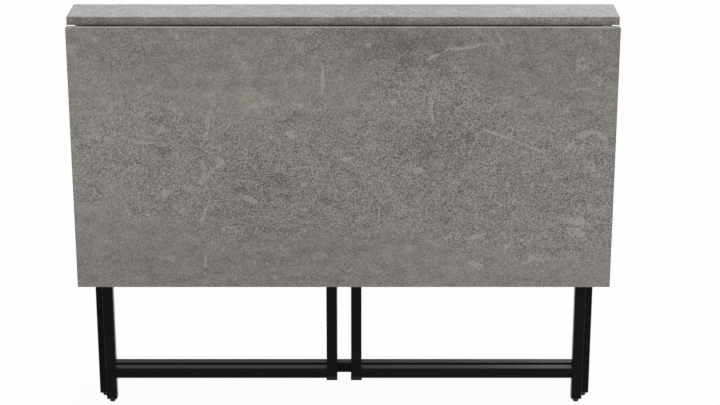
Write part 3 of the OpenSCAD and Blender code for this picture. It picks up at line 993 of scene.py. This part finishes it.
def weld_bead(length):
    """A rippled fillet of weld along y."""
    piece = add_shape(bpy.ops.curve.primitive_bezier_curve_add, "weld")
    curve = piece.data
    for point, end in zip(curve.splines[0].bezier_points, (-1, 1)):
        point.handle_left_type = point.handle_right_type = "VECTOR"
        point.co = (0, end * length / 2, 0)
    bpy.ops.object.mode_set(mode="EDIT")
    bpy.ops.curve.select_all(action="SELECT")
    bpy.ops.curve.subdivide(number_cuts=WELD_RIPPLES)
    bpy.ops.object.mode_set(mode="OBJECT")
    points = curve.splines[0].bezier_points
    for i, point in enumerate(points):
        at_end = i in (0, len(points) - 1)
        point.radius = WELD_END if at_end else (1.0, WELD_VALLEY)[i % 2]
    curve.dimensions = "3D"
    curve.bevel_depth = WELD_RADIUS
    curve.bevel_resolution = 2
    curve.resolution_u = 3
    curve.use_fill_caps = True
    bpy.ops.object.convert(target="MESH")
    bpy.ops.object.mode_set(mode="EDIT")
    bpy.ops.mesh.select_all(action="SELECT")
    bpy.ops.mesh.remove_doubles(threshold=WELD_MERGE)
    bpy.ops.mesh.normals_make_consistent(inside=False)
    return settle(bpy.context.object, WELD_SMOOTH_ANGLE)


def rail_ends(rail, above_too=True):
    """Where fillets lie at a rail's two ends: below it, and above it too."""
    low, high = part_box(rail)
    levels = [high.z, low.z] if above_too else [low.z]
    return [(x, (low.y + high.y) / 2, z) for x in (low.x, high.x) for z in levels]


def beside_pivot_plates(level):
    """Where fillets lie along the two sides of each lower pivot plate, at the rail's underside."""
    low, high = solid_boxes("lower_pivot_plates")[0]
    off_middle = abs(low.x + high.x) / 2
    half_plate = (high.x - low.x) / 2
    return [(hand * off_middle + edge * half_plate, 0, level) for hand in (-1, 1) for edge in (-1, 1)]


def place_welds():
    """Fillets in the inner corners of the frame and of each gate, and beside the lower pivot plates."""
    low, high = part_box("frame_bottom_rail")
    bead = weld_bead((high.y - low.y) * WELD_LENGTH)
    places = {"frame": rail_ends("frame_top_rail", above_too=False) + rail_ends("frame_bottom_rail")
              + beside_pivot_plates(low.z)}
    for gate in GATES:
        places[gate] = rail_ends(gate + "_top_rail", above_too=False) + rail_ends(gate + "_bottom_rail")
    for body, spots in places.items():
        piece = join_as("welds_of_" + body, [copy_to(bead, spot) for spot in spots])
        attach(piece, body)
        piece.data.materials.append(FINISHES["black_steel"])
    discard(bead)


# Surroundings

def seen_directly(tree):
    """1 where a surface is seen directly, in a gloss or through glass, and 0 where it only lights others."""
    path = put(tree, "LightPath").outputs
    seen = calc(tree, "MAXIMUM", path["Is Camera Ray"], path["Is Glossy Ray"])
    return calc(tree, "MAXIMUM", seen, path["Is Transmission Ray"])


def make_floor():
    """A pale floor that shows as white, with the table's shadow left faint. It is clear from below."""
    floor = add_shape(bpy.ops.mesh.primitive_plane_add, "floor", size=FLOOR_SIZE)
    material, tree, shader = start_material("Pale floor")
    fill(tree, shader, {"Base Color": FLOOR_COLOR, "Roughness": 0.9, "Specular IOR Level": 0.1})
    white = put(tree, "Emission", {"Color": WHITE, "Strength": 1.0}).outputs["Emission"]
    share = calc(tree, "MULTIPLY", seen_directly(tree), FLOOR_WHITENESS)
    mixed = put(tree, "MixShader", {0: share, 1: shader.outputs["BSDF"], 2: white}).outputs["Shader"]
    from_below = put(tree, "NewGeometry").outputs["Backfacing"]
    clear = put(tree, "BsdfTransparent").outputs["BSDF"]
    mixed = put(tree, "MixShader", {0: from_below, 1: mixed, 2: clear}).outputs["Shader"]
    fill(tree, tree.nodes["Material Output"], {"Surface": mixed})
    floor.data.materials.append(material)


def make_light():
    """A soft sun from above, softboxes on the right in front and behind, and a white sky all round."""
    bpy.ops.object.select_all(action="DESELECT")
    tilt = (math.radians(-SUN_TILT_BACK), math.radians(SUN_TILT_RIGHT), 0)
    bpy.ops.object.light_add(type="SUN", rotation=tilt)
    sun = bpy.context.object.data
    sun.energy = SUN_STRENGTH
    sun.angle = math.radians(SUN_SOFTNESS)
    sun.color = SUN_COLOR
    for name, box in SOFTBOXES.items():
        facing = Vector(box["place"]).to_track_quat("Z", "Y").to_euler()
        bpy.ops.object.light_add(type="AREA", location=box["place"], rotation=facing)
        bpy.context.object.name = name
        light = bpy.context.object.data
        light.shape = "RECTANGLE"
        light.size = box["width"]
        light.size_y = box["height"]
        light.energy = box["power"]
    world = bpy.data.worlds.new("Studio")
    world.use_nodes = True
    bpy.context.scene.world = world
    tree = world.node_tree
    inputs = {"Value": seen_directly(tree), "To Min": SKY_STRENGTH, "To Max": 1.0}
    strength = put(tree, "MapRange", inputs).outputs["Result"]
    fill(tree, tree.nodes["Background"], {"Color": WHITE, "Strength": strength})
    bpy.context.scene.view_settings.view_transform = "Standard"


def make_camera():
    """Looks straight on from a little above, as the photograph's camera does."""
    bpy.ops.object.camera_add(location=CAMERA_PLACE, rotation=(math.radians(90 - CAMERA_PITCH), 0, 0))
    camera = bpy.context.object
    camera.data.sensor_width = SENSOR_WIDTH
    camera.data.lens = FOCAL_LENGTH_PIXELS * SENSOR_WIDTH / PICTURE_WIDTH
    bpy.context.scene.camera = camera


make_camera()
make_light()
make_floor()
finish_solids()
board_edging("top_strip_edging", "top_strip", across=2)
board_edging("front_leaf_edging", "front_leaf", across=1)
board_edging("rear_leaf_edging", "rear_leaf", across=1)
place_plugs()
place_feet()
place_pads()
place_screws("top_screws", "top_screws_cross_head", TOP_SCREW_HEAD, head_down=True)
for side in SIDES:
    place_screws(side + "_hinge_strip_screws", side + "_strip_screws", HINGE_SCREW_HEAD, head_down=True)
    place_screws(side + "_hinge_leaf_screws", side + "_leaf_screws", HINGE_SCREW_HEAD, head_down=False)
place_welds()
